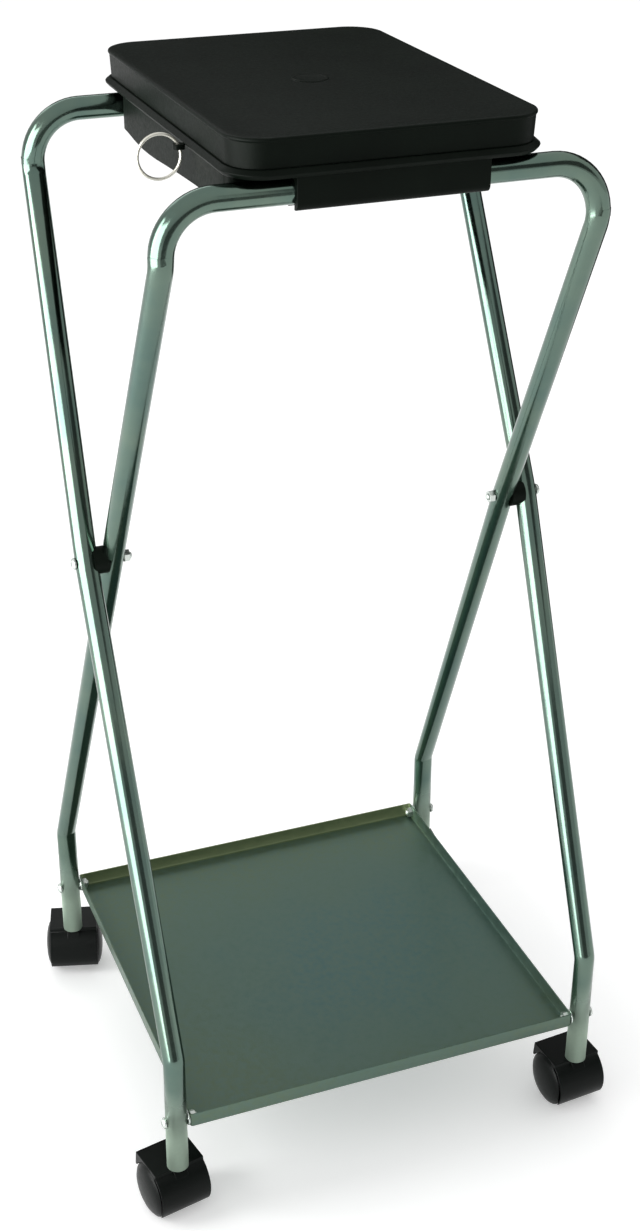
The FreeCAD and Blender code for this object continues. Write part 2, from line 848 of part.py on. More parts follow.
def lid_knuckle(body):
    """Middle barrel of the hinge and the arm that carries it."""
    y = at["hinge_y"]
    z = at["hinge_z"]
    radius = size("knuckle_radius")
    width = (size("knuckle_near") - size("knuckle_gap")) * 2
    barrel = new_sketch(body, "YZ_Plane")
    circle(barrel, y, z, radius)
    pad(body, barrel, width, symmetric=True)
    root = size("rim_shift") + at["skirt_half_y"] - size("lid_wall") / 2
    arm = new_sketch(body, "YZ_Plane")
    outline(arm, [
        (root, at["lid_low"] + size("lid_gap")),
        (y, z),
        (y, z + radius),
        (root, at["lid_low"] + radius + size("lid_wall")),
    ])
    pad(body, arm, width, symmetric=True)
    pin = new_sketch(body, "YZ_Plane")
    circle(pin, y, z, size("pin_radius") + size("pin_fit"))
    pocket(body, pin)


def lid():
    body = new_body("lid")
    lid_shell(body)
    lid_dish(body)
    lid_knuckle(body)
    as_node(body, "lid")


def hinge_pin():
    place_y = at["hinge_y"]
    pin = cylinder(size("pin_radius"), size("knuckle_far") * 2, Size(0), place_y, at["hinge_z"])
    as_node(pin, "lid_hinge_pin")


# Pull ring

def pull_ring():
    """Wire ring through the lug's hole, turned round its own Z from an eight-sided section."""
    body = new_body("pull_ring")
    sketch = new_sketch(body, "XZ_Plane")
    corners = []
    for number in range(WIRE_SIDES):
        angle = 2 * math.pi * (number + 0.5) / WIRE_SIDES
        out = size("ring_wire") * math.cos(angle)
        corners.append((size("ring_radius") + out, size("ring_wire") * math.sin(angle)))
    outline(sketch, corners)
    item = feature(body, "Revolution", sketch)
    item.ReferenceAxis = (sketch, ["V_Axis"])
    lean = size("ring_lean")
    body.Placement = FreeCAD.Placement(V(), FreeCAD.Rotation(V(1, 0, 0), 90))
    bind(body, "Placement.Base.x", at["lug_x"] - size("ring_radius") * lean.cos())
    bind(body, "Placement.Base.y", size("ring_back"))
    bind(body, "Placement.Base.z", at["lug_z"] - size("ring_radius") * lean.sin())
    as_node(body, "pull_ring")


# Castors: each body has the axle along X, the trail along +Y and the floor at z = 0

def castor_sleeve():
    """Plastic sleeve that fills the foot of the tube round the stem."""
    body = new_body("sleeve")
    sketch = new_sketch(body, "XY_Plane", at["foot_end"])
    circle(sketch, 0, 0, at["bore"] - size("stem_fit"))
    circle(sketch, 0, 0, size("stem_radius") + size("stem_fit"))
    pad(body, sketch, size("sleeve_up"))
    return body


def castor_stem(label):
    """Steel stem, fast in the hood's web, that turns in the sleeve."""
    stem = doc.addObject("Part::Cylinder", label)
    bind(stem, "Radius", size("stem_radius"))
    bind(stem, "Height", size("stem_sunk") + size("swivel_gap") + size("stem_up"))
    return as_node(stem, label)


def hood_shell(body):
    """Curved fender over both wheels with a flat seat for the foot and a tail behind."""
    sketch = new_sketch(body, "YZ_Plane")
    y = size("trail")
    z = size("wheel_radius")
    outer = at["hood_radius"]
    inner = size("wheel_radius") + size("fender_gap")
    skirt = size("hood_skirt")
    turn = size("hood_tip_turn")
    front_outer = (outer * outer - skirt * skirt).root()
    front_inner = (inner * inner - skirt * skirt).root()
    shoulder = (outer * outer - size("hood_front") * size("hood_front")).root()
    outline(sketch, [
        (y - front_outer, z - skirt),
        (y - front_inner, z - skirt),
        (y, z + inner),
        (y + inner * turn.cos(), z + inner * turn.sin()),
        (y + size("hood_tail"), z + size("hood_tail_rise")),
        (y + size("hood_back"), at["hood_top"]),
        (y - size("hood_front"), at["hood_top"]),
        (y - size("hood_front"), z + shoulder),
    ], {1: -inner, 2: -inner, 7: outer})
    return pad(body, sketch, size("hood_half") * 2, symmetric=True)


def hood_web(body):
    """Plate between the wheels that carries the stem and the axle."""
    sketch = new_sketch(body, "YZ_Plane")
    y = size("trail")
    z = size("wheel_radius")
    rim = at["hood_radius"] - size("hood_wall") / 2
    low = size("web_low")
    inset = size("web_inset")
    reach = (rim * rim - low * low).root()
    turn = size("hood_tip_turn")
    outline(sketch, [
        (y - reach, z - low),
        (y + low, z - low),
        (y + rim * turn.cos(), z + rim * turn.sin()),
        (y + size("hood_back") - inset, at["hood_top"] - inset / 2),
        (y - size("hood_front") + inset, at["hood_top"] - inset / 2),
        (y - size("web_shoulder"), z + (rim * rim - size("web_shoulder") * size("web_shoulder")).root()),
    ], {5: rim})
    pad(body, sketch, size("web_half") * 2, symmetric=True)


def castor_hood(label):
    body = new_body(label)
    hood_shell(body)
    hood_web(body)
    stem = new_sketch(body, "XY_Plane", at["hood_top"])
    circle(stem, 0, 0, size("stem_radius") + size("stem_fit"))
    pocket(body, stem, size("stem_sunk"))
    axle = new_sketch(body, "YZ_Plane")
    circle(axle, size("trail"), size("wheel_radius"), size("axle_radius"))
    pocket(body, axle)
    return as_node(body, label)


def castor_wheel(label):
    """One wheel, from its inner face near the web to its outer side; bored from inside."""
    body = new_body(label)
    near = size("wheel_near")
    side = near + size("wheel_wide")
    bore = size("axle_radius") + size("axle_fit")
    bottom = size("axle_half") + size("swivel_gap")
    sketch = new_sketch(body, "XY_Plane")
    outline(sketch, [
        (near, bore),
        (bottom, bore),
        (bottom, 0),
        (side, 0),
        (side, size("wheel_radius")),
        (near, size("wheel_radius")),
    ])
    spin(body, sketch)
    return as_node(body, label)


def castor_axle(label):
    body = new_body(label)
    sketch = new_sketch(body, "YZ_Plane")
    circle(sketch, 0, 0, size("axle_radius") - size("axle_fit") / 2)
    pad(body, sketch, size("axle_half") * 2, symmetric=True)
    return as_node(body, label)


def castor(name, side, front):
    label = "castor_" + name + "_"
    turn = size("turn_" + name)
    x = size("foot_half") * side
    y = size("foot_out") * front
    place(castor_stem(label + "stem"), x, y, at["hood_top"] - size("stem_sunk"))
    place(castor_hood(label + "hood"), x, y, 0, turn.number)
    axle_x = x - size("trail") * turn.sin()
    axle_y = y + size("trail") * turn.cos()
    axle = castor_axle(label + "axle")
    place(axle, axle_x, axle_y, size("wheel_radius"), turn.number)
    for which, half_turn in (("right", 0.0), ("left", 180.0)):
        wheel = castor_wheel(label + "wheel_" + which)
        place(wheel, axle_x, axle_y, size("wheel_radius"), turn.number + half_turn)
    return place(castor_sleeve(), x, y, 0)


# Checks and files

def check_document():
    """Stops at any failed object, any cut that took nothing away and any bad solid."""
    failed = [item.Name for item in doc.Objects if {"Invalid", "Error"} & set(item.State)]
    if failed:
        raise RuntimeError(f"these failed: {failed}")
    for item in doc.Objects:
        if item.TypeId in ("PartDesign::Pocket", "PartDesign::SubtractiveLoft"):
            if item.BaseFeature.Shape.Volume - item.Shape.Volume < 0.01:
                raise RuntimeError(f"{item.Label} of {item.getParent().Label} cuts nothing")
    for node in nodes:
        shape = node.Shape
        if shape.isNull() or not shape.isValid() or not shape.Solids:
            raise RuntimeError(f"{node.Label} is not a valid solid")


def write_nodes():
    os.makedirs("parts", exist_ok=True)
    for node in nodes:
        node.Shape.exportStep(os.path.join("parts", node.Label + ".step"))
        print(f"{node.Label}: {node.Shape.Volume / 1000:.2f} cm3")


fill_sheet()
at = shared_places()

front_tube = frame("frame_front_tube", -1, size("front_top_half"), size("front_pivot_half"))
back_tube = frame("frame_back_tube", 1, size("back_top_half"), at["back_pivot_half"])
pivots(front_tube, back_tube)
tray()
tray_fixings()
bag_collar()
lid()
hinge_pin()
pull_ring()
group("castor_sleeves", [castor(name, side, front) for name, (side, front) in FEET.items()])

doc.recompute()
check_document()
write_nodes()
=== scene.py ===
# %% [markdown]
# A bin bag holder: two bent steel tube frames that cross at the sides, a folded tray at the
# bottom, four black twin-wheel castors, and a black collar with a lid that holds the bag.
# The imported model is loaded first. It is the frame that every piece is fitted to, in metres.

import math

import bmesh
import bpy
from mathutils import Matrix, Vector


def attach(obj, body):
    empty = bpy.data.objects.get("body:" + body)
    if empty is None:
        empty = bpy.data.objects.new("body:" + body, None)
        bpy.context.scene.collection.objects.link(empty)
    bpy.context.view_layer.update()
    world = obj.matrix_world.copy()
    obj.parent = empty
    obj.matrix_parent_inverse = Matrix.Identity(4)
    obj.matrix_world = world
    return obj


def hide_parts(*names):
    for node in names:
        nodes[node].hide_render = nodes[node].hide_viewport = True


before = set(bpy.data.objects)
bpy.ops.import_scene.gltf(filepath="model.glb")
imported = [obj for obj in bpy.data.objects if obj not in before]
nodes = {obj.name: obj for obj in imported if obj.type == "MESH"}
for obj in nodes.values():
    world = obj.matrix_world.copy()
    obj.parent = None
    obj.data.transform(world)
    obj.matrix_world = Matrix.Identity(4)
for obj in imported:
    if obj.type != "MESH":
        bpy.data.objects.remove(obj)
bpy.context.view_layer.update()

# %% [markdown]
# The camera stands where the photographer stood: a little to the left, above the lid, and
# about a metre and a half away. The lens comes from the focal length found by matching the
# known corners of the holder, as a share of the picture's height of 1231 points.

# %% Camera
PICTURE_HIGH = 1231
FOCAL_POINTS = 1886.84
SENSOR = 36.0


def link_object(name, data):
    item = bpy.data.objects.new(name, data)
    bpy.context.scene.collection.objects.link(item)
    return item


camera_data = bpy.data.cameras.new("camera")
camera_data.sensor_fit = "VERTICAL"
camera_data.sensor_height = SENSOR
camera_data.sensor_width = SENSOR
camera_data.lens = FOCAL_POINTS / PICTURE_HIGH * SENSOR
camera_data.clip_start = 0.05
camera = link_object("camera", camera_data)
yaw = Matrix.Rotation(math.radians(-21.356), 4, "Z")
tilt = Matrix.Rotation(math.radians(90 - 28.215), 4, "X")
roll = Matrix.Rotation(math.radians(0.323), 4, "Z")
camera.matrix_world = Matrix.Translation((-0.5507, -1.4231, 1.3072)) @ yaw @ tilt @ roll
bpy.context.scene.camera = camera
print("lens:", round(camera_data.lens, 2), "mm")

# %% [markdown]
# The studio is a pale floor under an even pale world. A tall lamp on the left models the
# forms, and a wide soft lamp behind gives the lid its sheen. Round metal looks like metal
# only where it mirrors something dark beside something light. So dark cards stand round
# the holder, and a tall bright card at its left, as photographers put them. The bright
# card draws the white line along the tubes. All cards show in reflections only.

# %% Floor, lamps and world
FLOOR_HALF = 15.0
DARK = (0.01, 0.012, 0.012)
PALE = (0.8, 0.8, 0.8)


def node_tree(owner):
    owner.use_nodes = True
    owner.node_tree.nodes.clear()
    return owner.node_tree


def seen_as_background(tree, strength):
    """A strength for the rays that show the background: to the eye, in metal, through glass."""
    path = tree.nodes.new("ShaderNodeLightPath")
    total = path.outputs["Is Camera Ray"]
    for name in ("Is Glossy Ray", "Is Transmission Ray"):
        node = tree.nodes.new("ShaderNodeMath")
        node.operation = "MAXIMUM"
        tree.links.new(total, node.inputs[0])
        tree.links.new(path.outputs[name], node.inputs[1])
        total = node.outputs[0]
    scale = tree.nodes.new("ShaderNodeMath")
    scale.operation = "MULTIPLY"
    scale.inputs[1].default_value = strength
    tree.links.new(total, scale.inputs[0])
    return scale.outputs[0]


def make_floor():
    bm = bmesh.new()
    bmesh.ops.create_grid(bm, x_segments=1, y_segments=1, size=FLOOR_HALF)
    mesh = bpy.data.meshes.new("studio_floor")
    bm.to_mesh(mesh)
    bm.free()
    floor = link_object("studio_floor", mesh)
    paint = bpy.data.materials.new("pale floor")
    tree = node_tree(paint)
    out = tree.nodes.new("ShaderNodeOutputMaterial")
    shader = tree.nodes.new("ShaderNodeBsdfPrincipled")
    shader.inputs["Base Color"].default_value = (0.9, 0.9, 0.9, 1)
    shader.inputs["Roughness"].default_value = 0.9
    shader.inputs["Emission Color"].default_value = (1, 1, 1, 1)
    tree.links.new(seen_as_background(tree, 0.3), shader.inputs["Emission Strength"])
    tree.links.new(shader.outputs[0], out.inputs[0])
    mesh.materials.append(paint)


def add_lamp(name, place, target, size, power):
    data = bpy.data.lights.new(name, "AREA")
    data.shape = "RECTANGLE"
    data.size, data.size_y = size
    data.energy = power
    lamp = link_object(name, data)
    aim = Vector(target) - Vector(place)
    turn = aim.to_track_quat("-Z", "Y").to_matrix().to_4x4()
    lamp.matrix_world = Matrix.Translation(place) @ turn


def make_world():
    world = bpy.data.worlds.new("studio")
    bpy.context.scene.world = world
    tree = node_tree(world)
    out = tree.nodes.new("ShaderNodeOutputWorld")
    back = tree.nodes.new("ShaderNodeBackground")
    where = tree.nodes.new("ShaderNodeTexCoord")
    split = tree.nodes.new("ShaderNodeSeparateXYZ")
    ramp = tree.nodes.new("ShaderNodeValToRGB")
    ramp.color_ramp.elements[0].position = 0.0
    ramp.color_ramp.elements[0].color = (0.82, 0.83, 0.83, 1)
    ramp.color_ramp.elements[1].position = 0.9
    ramp.color_ramp.elements[1].color = (1.0, 1.0, 1.0, 1)
    tree.links.new(where.outputs["Generated"], split.inputs[0])
    tree.links.new(split.outputs["Z"], ramp.inputs[0])
    tree.links.new(ramp.outputs[0], back.inputs[0])
    tree.links.new(back.outputs[0], out.inputs[0])
    back.inputs[1].default_value = 0.85


def reflection_card(name, place, size, colour, glow=0.0):
    """A card that faces the middle upright, and is seen only in what is glossy."""
    bm = bmesh.new()
    bmesh.ops.create_grid(bm, x_segments=1, y_segments=1, size=0.5)
    bmesh.ops.scale(bm, vec=(*size, 1), verts=bm.verts)
    to_middle = Vector((-place[0], -place[1], 0))
    turn = to_middle.to_track_quat("Z", "Y").to_matrix().to_4x4()
    bmesh.ops.transform(bm, matrix=Matrix.Translation(place) @ turn, verts=bm.verts)
    mesh = bpy.data.meshes.new(name)
    bm.to_mesh(mesh)
    bm.free()
    card = link_object(name, mesh)
    cloth = bpy.data.materials.new(name)
    tree = node_tree(cloth)
    out = tree.nodes.new("ShaderNodeOutputMaterial")
    shader = tree.nodes.new("ShaderNodeBsdfPrincipled")
    shader.inputs["Base Color"].default_value = (*colour, 1)
    shader.inputs["Roughness"].default_value = 1.0
    shader.inputs["Emission Color"].default_value = (1, 1, 1, 1)
    shader.inputs["Emission Strength"].default_value = glow
    tree.links.new(shader.outputs[0], out.inputs[0])
    mesh.materials.append(cloth)
    for part in ("camera", "diffuse", "transmission", "shadow"):
        setattr(card, "visible_" + part, False)


make_floor()
make_world()
add_lamp("left lamp", (-2.0, 0.25, 1.15), (0, 0, 0.6), (0.7, 1.9), 26)
add_lamp("back lamp", (-0.4, 2.4, 2.4), (0, 0, 0.6), (2.0, 1.2), 9)
reflection_card("low front card", (-0.05, -2.3, 0.62), (1.7, 1.0), DARK, 0.14)
reflection_card("high front card", (1.35, -1.6, 1.65), (1.9, 1.1), DARK, 0.08)
reflection_card("right card", (1.3, 0.6, 0.9), (0.9, 1.8), DARK)
reflection_card("back card", (0.32, 0.82, 1.2), (1.3, 0.5), DARK)
reflection_card("bright card", (-1.83, -0.62, 0.95), (1.95, 1.9), PALE, 6.8)
print("stage is set")

# %% [markdown]
# Three effects are shared by several finishes, so each is a shader node group. "Mottle"
# gives two soft masks of different size, for the cloudy look of zinc plating. "Grain" gives
# the height of a fine moulded or drawn texture. "Dust" finds the faces that look up and
# breaks them into patches, because dust settles there.

# %% Shared node groups
def new_group(name, inputs, outputs):
    group = bpy.data.node_groups.new(name, "ShaderNodeTree")
    for label, default in inputs:
        socket = group.interface.new_socket(label, in_out="INPUT", socket_type="NodeSocketFloat")
        socket.default_value = default
    for label in outputs:
        group.interface.new_socket(label, in_out="OUTPUT", socket_type="NodeSocketFloat")
    start = group.nodes.new("NodeGroupInput")
    end = group.nodes.new("NodeGroupOutput")
    return group, start, end


def noise_node(tree, detail, roughness):
    node = tree.nodes.new("ShaderNodeTexNoise")
    node.inputs["Detail"].default_value = detail
    node.inputs["Roughness"].default_value = roughness
    return node


def map_range(tree, low, high, to_low=0.0, to_high=1.0):
    node = tree.nodes.new("ShaderNodeMapRange")
    node.inputs["From Min"].default_value = low
    node.inputs["From Max"].default_value = high
    node.inputs["To Min"].default_value = to_low
    node.inputs["To Max"].default_value = to_high
    return node


def math_node(tree, operation, second=None):
    node = tree.nodes.new("ShaderNodeMath")
    node.operation = operation
    if second is not None:
        node.inputs[1].default_value = second
    return node


def make_mottle():
    group, start, end = new_group("Mottle", [("Large", 9.0), ("Small", 60.0)], ["Clouds", "Specks"])
    where = group.nodes.new("ShaderNodeTexCoord")
    for source, target in (("Large", "Clouds"), ("Small", "Specks")):
        noise = noise_node(group, 4.0, 0.6)
        spread = map_range(group, 0.3, 0.7)
        group.links.new(where.outputs["Object"], noise.inputs["Vector"])
        group.links.new(start.outputs[source], noise.inputs["Scale"])
        group.links.new(noise.outputs[0], spread.inputs[0])
        group.links.new(spread.outputs[0], end.inputs[target])
    return group


def make_grain():
    group, start, end = new_group("Grain", [("Scale", 900.0), ("Stretch", 1.0)], ["Height"])
    where = group.nodes.new("ShaderNodeTexCoord")
    split = group.nodes.new("ShaderNodeSeparateXYZ")
    join = group.nodes.new("ShaderNodeCombineXYZ")
    pull = math_node(group, "MULTIPLY")
    noise = noise_node(group, 2.0, 0.55)
    group.links.new(where.outputs["Object"], split.inputs[0])
    group.links.new(split.outputs["Z"], pull.inputs[0])
    group.links.new(start.outputs["Stretch"], pull.inputs[1])
    group.links.new(split.outputs["X"], join.inputs["X"])
    group.links.new(split.outputs["Y"], join.inputs["Y"])
    group.links.new(pull.outputs[0], join.inputs["Z"])
    group.links.new(join.outputs[0], noise.inputs["Vector"])
    group.links.new(start.outputs["Scale"], noise.inputs["Scale"])
    group.links.new(noise.outputs[0], end.inputs["Height"])
    return group


def make_dust():
    group, start, end = new_group("Dust", [("Amount", 0.3), ("Scale", 40.0)], ["Mask"])
    shape = group.nodes.new("ShaderNodeNewGeometry")
    split = group.nodes.new("ShaderNodeSeparateXYZ")
    upward = map_range(group, 0.35, 1.0)
    where = group.nodes.new("ShaderNodeTexCoord")
    noise = noise_node(group, 5.0, 0.65)
    patch = map_range(group, 0.4, 0.75)
    both = math_node(group, "MULTIPLY")
    amount = math_node(group, "MULTIPLY")
    group.links.new(shape.outputs["Normal"], split.inputs[0])
    group.links.new(split.outputs["Z"], upward.inputs[0])
    group.links.new(where.outputs["Object"], noise.inputs["Vector"])
    group.links.new(start.outputs["Scale"], noise.inputs["Scale"])
    group.links.new(noise.outputs[0], patch.inputs[0])
    group.links.new(upward.outputs[0], both.inputs[0])
    group.links.new(patch.outputs[0], both.inputs[1])
    group.links.new(both.outputs[0], amount.inputs[0])
    group.links.new(start.outputs["Amount"], amount.inputs[1])
    group.links.new(amount.outputs[0], end.inputs["Mask"])
    return group


mottle_group = make_mottle()
grain_group = make_grain()
dust_group = make_dust()
print("node groups:", [group.name for group in bpy.data.node_groups])

# %% [markdown]
# Each finish is a Principled shader fed by those groups. The tubes are bright zinc with a
# blue-green passivation, which the metal's own colour gives. The tray is the same plating
# on flat sheet, where it shows clouds of olive and blue. Its flange at the back is painted
# lighter and warmer, a painted reflection of the light that it catches. The plastics are
# nearly black, and only their roughness and a little dust break them up.

# %% Tools for finishes
def use_group(tree, group, **values):
    node = tree.nodes.new("ShaderNodeGroup")
    node.node_tree = group
    for name, value in values.items():
        node.inputs[name].default_value = value
    return node


def mix_colours(tree, factor, first, second):
    """Mixes two colours, each a tuple or a socket, by the factor socket."""
    node = tree.nodes.new("ShaderNodeMix")
    node.data_type = "RGBA"
    tree.links.new(factor, node.inputs["Factor"])
    for label, colour in (("A", first), ("B", second)):
        socket = [item for item in node.inputs if item.name == label and item.type == "RGBA"][0]
        if isinstance(colour, tuple):
            socket.default_value = (*colour, 1)
        else:
            tree.links.new(colour, socket)
    return [item for item in node.outputs if item.type == "RGBA"][0]


def start_finish(name, metallic, specular=0.5):
    finish = bpy.data.materials.new(name)
    tree = node_tree(finish)
    out = tree.nodes.new("ShaderNodeOutputMaterial")
    shader = tree.nodes.new("ShaderNodeBsdfPrincipled")
    shader.inputs["Metallic"].default_value = metallic
    shader.inputs["Specular IOR Level"].default_value = specular
    tree.links.new(shader.outputs[0], out.inputs[0])
    return finish, tree, shader


def add_bump(tree, shader, height, strength, distance):
    bump = tree.nodes.new("ShaderNodeBump")
    bump.inputs["Strength"].default_value = strength
    bump.inputs["Distance"].default_value = distance
    tree.links.new(height, bump.inputs["Height"])
    tree.links.new(bump.outputs[0], shader.inputs["Normal"])


def set_roughness(tree, shader, source, low, high):
    spread = map_range(tree, 0.0, 1.0, low, high)
    tree.links.new(source, spread.inputs[0])
    tree.links.new(spread.outputs[0], shader.inputs["Roughness"])


def height_mask(tree, start, full):
    """0 above the height `start` and 1 below `full`: the feet are duller than the legs."""
    where = tree.nodes.new("ShaderNodeTexCoord")
    split = tree.nodes.new("ShaderNodeSeparateXYZ")
    spread = map_range(tree, full, start, 1.0, 0.0)
    tree.links.new(where.outputs["Object"], split.inputs[0])
    tree.links.new(split.outputs["Z"], spread.inputs[0])
    return spread.outputs[0]


# %% Zinc finishes
LEG_BRIGHT = 0.15
FOOT_DULL = 0.09
BLUEST_SPOT = (0.05, -0.03, 0.1)
BACK_FLANGE_STARTS = 0.1895
BACK_FLANGE_FULL = 0.1925


def zinc_tube_finish():
    finish, tree, shader = start_finish("zinc tube", 1.0)
    mottle = use_group(tree, mottle_group, Large=14.0, Small=220.0)
    colour = mix_colours(tree, mottle.outputs["Clouds"], (0.10, 0.158, 0.138), (0.145, 0.20, 0.16))
    dull = height_mask(tree, LEG_BRIGHT, FOOT_DULL)
    paler = mix_colours(tree, dull, colour, (0.34, 0.43, 0.35))
    tree.links.new(paler, shader.inputs["Base Color"])
    rough = math_node(tree, "MULTIPLY_ADD", 0.4)
    spread = map_range(tree, 0.0, 1.0, 0.12, 0.19)
    tree.links.new(mottle.outputs["Specks"], spread.inputs[0])
    tree.links.new(dull, rough.inputs[0])
    tree.links.new(spread.outputs[0], rough.inputs[2])
    tree.links.new(rough.outputs[0], shader.inputs["Roughness"])
    grain = use_group(tree, grain_group, Scale=260.0, Stretch=0.15)
    add_bump(tree, shader, grain.outputs["Height"], 0.12, 0.0002)
    return finish


def zinc_sheet_finish():
    finish, tree, shader = start_finish("zinc sheet", 0.9)
    mottle = use_group(tree, mottle_group, Large=7.0, Small=160.0)
    where = tree.nodes.new("ShaderNodeTexCoord")
    middle = tree.nodes.new("ShaderNodeVectorMath")
    middle.operation = "DISTANCE"
    middle.inputs[1].default_value = BLUEST_SPOT
    tree.links.new(where.outputs["Object"], middle.inputs[0])
    ring = map_range(tree, 0.06, 0.26)
    tree.links.new(middle.outputs["Value"], ring.inputs[0])
    shaken = math_node(tree, "MULTIPLY_ADD", 0.5)
    tree.links.new(mottle.outputs["Clouds"], shaken.inputs[0])
    tree.links.new(ring.outputs[0], shaken.inputs[2])
    clamp = map_range(tree, 0.2, 1.1)
    tree.links.new(shaken.outputs[0], clamp.inputs[0])
    colour = mix_colours(tree, clamp.outputs[0], (0.075, 0.142, 0.136), (0.104, 0.150, 0.100))
    specks = mix_colours(tree, mottle.outputs["Specks"], colour, (0.105, 0.162, 0.135))
    # The flange at the back is painted lighter and warmer: a painted reflection of the light it
    # catches.
    split = tree.nodes.new("ShaderNodeSeparateXYZ")
    back = map_range(tree, BACK_FLANGE_STARTS, BACK_FLANGE_FULL)
    tree.links.new(where.outputs["Object"], split.inputs[0])
    tree.links.new(split.outputs["Y"], back.inputs[0])
    painted_flange_light = mix_colours(tree, back.outputs[0], specks, (0.23, 0.28, 0.15))
    tree.links.new(painted_flange_light, shader.inputs["Base Color"])
    set_roughness(tree, shader, mottle.outputs["Specks"], 0.34, 0.5)
    grain = use_group(tree, grain_group, Scale=500.0, Stretch=1.0)
    add_bump(tree, shader, grain.outputs["Height"], 0.15, 0.0002)
    return finish


def fastener_finish():
    finish, tree, shader = start_finish("zinc fastener", 1.0)
    mottle = use_group(tree, mottle_group, Large=120.0, Small=900.0)
    colour = mix_colours(tree, mottle.outputs["Clouds"], (0.52, 0.58, 0.55), (0.66, 0.70, 0.66))
    tree.links.new(colour, shader.inputs["Base Color"])
    set_roughness(tree, shader, mottle.outputs["Specks"], 0.22, 0.38)
    return finish


def wire_finish():
    finish, tree, shader = start_finish("ring wire", 0.75)
    mottle = use_group(tree, mottle_group, Large=90.0, Small=700.0)
    colour = mix_colours(tree, mottle.outputs["Clouds"], (0.62, 0.60, 0.52), (0.78, 0.77, 0.70))
    tree.links.new(colour, shader.inputs["Base Color"])
    set_roughness(tree, shader, mottle.outputs["Specks"], 0.3, 0.45)
    return finish


# %% Plastic finishes
def plastic_finish(name, colour, dusty, roughness, specular, grain_scale):
    finish, tree, shader = start_finish(name, 0.0, specular)
    dust = use_group(tree, dust_group, Amount=dusty, Scale=30.0)
    mottle = use_group(tree, mottle_group, Large=18.0, Small=400.0)
    pale = tuple(2.5 * part + 0.006 for part in colour)
    worn = tuple(1.5 * part for part in colour)
    base = mix_colours(tree, mottle.outputs["Clouds"], colour, worn)
    dusted = mix_colours(tree, dust.outputs["Mask"], base, pale)
    tree.links.new(dusted, shader.inputs["Base Color"])
    set_roughness(tree, shader, mottle.outputs["Specks"], roughness - 0.05, roughness + 0.07)
    grain = use_group(tree, grain_group, Scale=grain_scale, Stretch=1.0)
    add_bump(tree, shader, grain.outputs["Height"], 0.2, 0.0002)
    return finish


zinc_tube = zinc_tube_finish()
zinc_sheet = zinc_sheet_finish()
zinc_fastener = fastener_finish()
ring_wire = wire_finish()
black_plastic = plastic_finish("black plastic", (0.0026, 0.0046, 0.0029), 0.08, 0.44, 0.06, 1400.0)
castor_plastic = plastic_finish("castor plastic", (0.0022, 0.0034, 0.0028), 0.08, 0.34, 0.11, 1100.0)
print("finishes:", [finish.name for finish in bpy.data.materials])

# %% [markdown]
# The pieces are worked out in millimetres, as a maker would, and only the last step turns
# them into metres. `hand_over` does that: it merges doubles, points the faces outwards,
# marks sharp edges by angle, hides the parts that the piece replaces, and hangs it on the
# body that it rides on.

# %% Tools for pieces
MM = 0.001
MERGE = 0.0005


def hand_over(bm, name, finish, slot, body, *replaced, sharp=32):
    bmesh.ops.remove_doubles(bm, verts=bm.verts, dist=MERGE)
    bmesh.ops.recalc_face_normals(bm, faces=bm.faces)
    bmesh.ops.scale(bm, vec=(MM, MM, MM), verts=bm.verts)
    mesh = bpy.data.meshes.new(name)
    bm.to_mesh(mesh)
    bm.free()
    mesh.shade_smooth()
    mesh.set_sharp_from_angle(angle=math.radians(sharp))
    mesh.materials.append(finish)
    piece = link_object(name, mesh)
    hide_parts(*replaced)
    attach(piece, body)
    print(name, "faces:", len(mesh.polygons))
    return piece


def keep_node(name, finish):
    mesh = nodes[name].data
    mesh.materials.clear()
    mesh.materials.append(finish)


def only_verts(geom):
    return [item for item in geom if isinstance(item, bmesh.types.BMVert)]


def only_edges(geom):
    return [item for item in geom if isinstance(item, bmesh.types.BMEdge)]


# %% [markdown]
# The two frames are one tube each, bent in a machine: straight runs joined by arcs. The
# mesh is made the same way. A circle is extruded along each run and spun round the centre
# of each bend. Where the tube kinks, just under the corners and above the feet, the press
# leaves the inside of the bend a little flattened, which is done last by moving vertices.

# %% Tube tools
TUBE_SEGMENTS = 40
TUBE_RADIUS = 10.0
TUBE_WALL = 1.5
KINK_RADIUS = 15.0
TOP_KINK_RADIUS = 34.0
CORNER_RADIUS = 42.0
PIVOT_RADIUS = 400.0
KINK_REACH = 17.0
KINK_NEAR = KINK_REACH * 1.3
PRESSED_PAST_MIDDLE = 1.0


def run_along(bm, ring, shift):
    made = bmesh.ops.extrude_edge_only(bm, edges=ring)["geom"]
    verts = only_verts(made)
    bmesh.ops.translate(bm, verts=verts, vec=shift)
    moved = set(verts)
    return [edge for edge in only_edges(made) if moved.issuperset(edge.verts)]


def turn_round(bm, ring, centre, axis, angle, steps):
    verts = list({vert for edge in ring for vert in edge.verts})
    made = bmesh.ops.spin(bm, geom=verts + ring, cent=centre, axis=axis, dvec=(0, 0, 0),
                          angle=angle, steps=steps, use_merge=False, use_duplicate=False)
    return only_edges(made["geom_last"])


def flatten_kink(bm, corner, inward, along, share):
    """Presses the inside of a bend towards the tube's middle, most at the corner."""
    for vert in bm.verts:
        offset = vert.co - corner
        far = abs(offset.dot(along)) / KINK_REACH
        if offset.length < KINK_NEAR and far < 1:
            deep = offset.dot(inward) + PRESSED_PAST_MIDDLE
            if deep > 0:
                fade = (1 + math.cos(math.pi * far)) / 2
                vert.co -= inward * deep * share * fade


